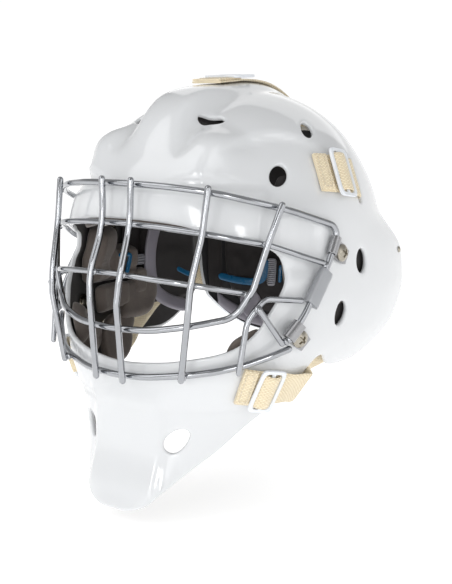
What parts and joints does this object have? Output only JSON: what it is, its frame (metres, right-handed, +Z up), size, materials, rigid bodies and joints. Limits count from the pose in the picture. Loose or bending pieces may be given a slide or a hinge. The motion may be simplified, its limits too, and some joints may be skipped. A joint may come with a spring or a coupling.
{
  "type": "goalie mask",
  "caption": "One-piece goalie mask shell with a screwed-on wire cage, foam padding, chin cup and a strapped, hinging back plate.",
  "frame": {"origin": "middle of the head space, level with the ear holes, on the middle plane", "axes": "+Z up, the mask faces -Y, the wearer's left is +X"},
  "size_m": [0.2224, 0.2507, 0.2802],
  "materials": {
    "white_shell": "gloss white, painted composite",
    "chrome_wire": "bright chrome-plated steel wire",
    "clip_steel": "plated spring steel strip",
    "nickel": "satin nickel plate",
    "silver_label": "blank metallised film",
    "taupe_foam": "closed-cell foam, matte taupe",
    "terry_cloth": "looped terry towelling",
    "dark_liner": "dark brushed liner on foam",
    "grey_plastic": "satin lilac-grey moulding",
    "webbing": "beige cotton and elastic webbing",
    "white_plastic": "moulded bluish-white plastic"
  },
  "bodies": {
    "root": {"shell": "white_shell", "cage_top_bar": "chrome_wire", "cage_second_bar": "chrome_wire", "cage_third_bar": "chrome_wire", "cage_eye_wire": "chrome_wire", "cage_bottom_bar": "chrome_wire", "cage_centre_upright_left": "chrome_wire", "cage_centre_upright_right": "chrome_wire", "cage_outer_upright_left": "chrome_wire", "cage_outer_upright_right": "chrome_wire", "cage_side_wire_left": "chrome_wire", "cage_side_wire_right": "chrome_wire", "cage_diagonal_left": "chrome_wire", "cage_diagonal_right": "chrome_wire", "cage_clip_upper_left": "clip_steel", "cage_clip_upper_right": "clip_steel", "cage_clip_lower_left": "clip_steel", "cage_clip_lower_right": "clip_steel", "cage_screw_upper_left": "nickel", "cage_screw_upper_right": "nickel", "cage_screw_lower_left": "nickel", "cage_screw_lower_right": "nickel", "cage_nut_upper_left": "nickel", "cage_nut_upper_right": "nickel", "cage_nut_lower_left": "nickel", "cage_nut_lower_right": "nickel", "chin_snap_left": "nickel", "chin_snap_right": "nickel", "flap_rivet_left": "nickel", "flap_rivet_right": "nickel", "label_sleeve_left": "silver_label", "label_sleeve_right": "silver_label", "brow_pad": "taupe_foam", "side_pad_left": "taupe_foam", "side_pad_right": "taupe_foam", "jaw_pad_left": "taupe_foam", "jaw_pad_right": "taupe_foam", "chin_pad": "taupe_foam", "sweatband": "terry_cloth", "crown_pad": "dark_liner", "temple_pad_left": "dark_liner", "temple_pad_right": "dark_liner", "ear_pad_left": "dark_liner", "ear_pad_right": "dark_liner", "crown_strap": "webbing", "temple_strap_left": "webbing", "temple_strap_right": "webbing", "jaw_strap_left": "webbing", "jaw_strap_right": "webbing", "crown_buckle": "white_plastic", "temple_buckle_left": "white_plastic", "temple_buckle_right": "white_plastic", "jaw_buckle_left": "white_plastic", "jaw_buckle_right": "white_plastic"},
    "backplate": {"back_plate": "grey_plastic", "back_plate_liner": "dark_liner", "crown_strap_tail": "webbing"},
    "chin": {"chin_cup": "taupe_foam", "chin_strap_left": "webbing", "chin_strap_right": "webbing"}
  },
  "joints": [
    {"name": "back_plate_hinge", "type": "hinge", "parent": "root", "child": "backplate", "pos_m": [0, 0.0575, 0.0865], "axis": [1, 0, 0], "range_deg": [0, 25], "stiffness_Nm_per_rad": 0.8, "springref_deg": -14.32},
    {"name": "chin_cup_swing", "type": "hinge", "parent": "root", "child": "chin", "pos_m": [0, -0.098, -0.084], "axis": [1, 0, 0], "range_deg": [-15, 40]}
  ]
}
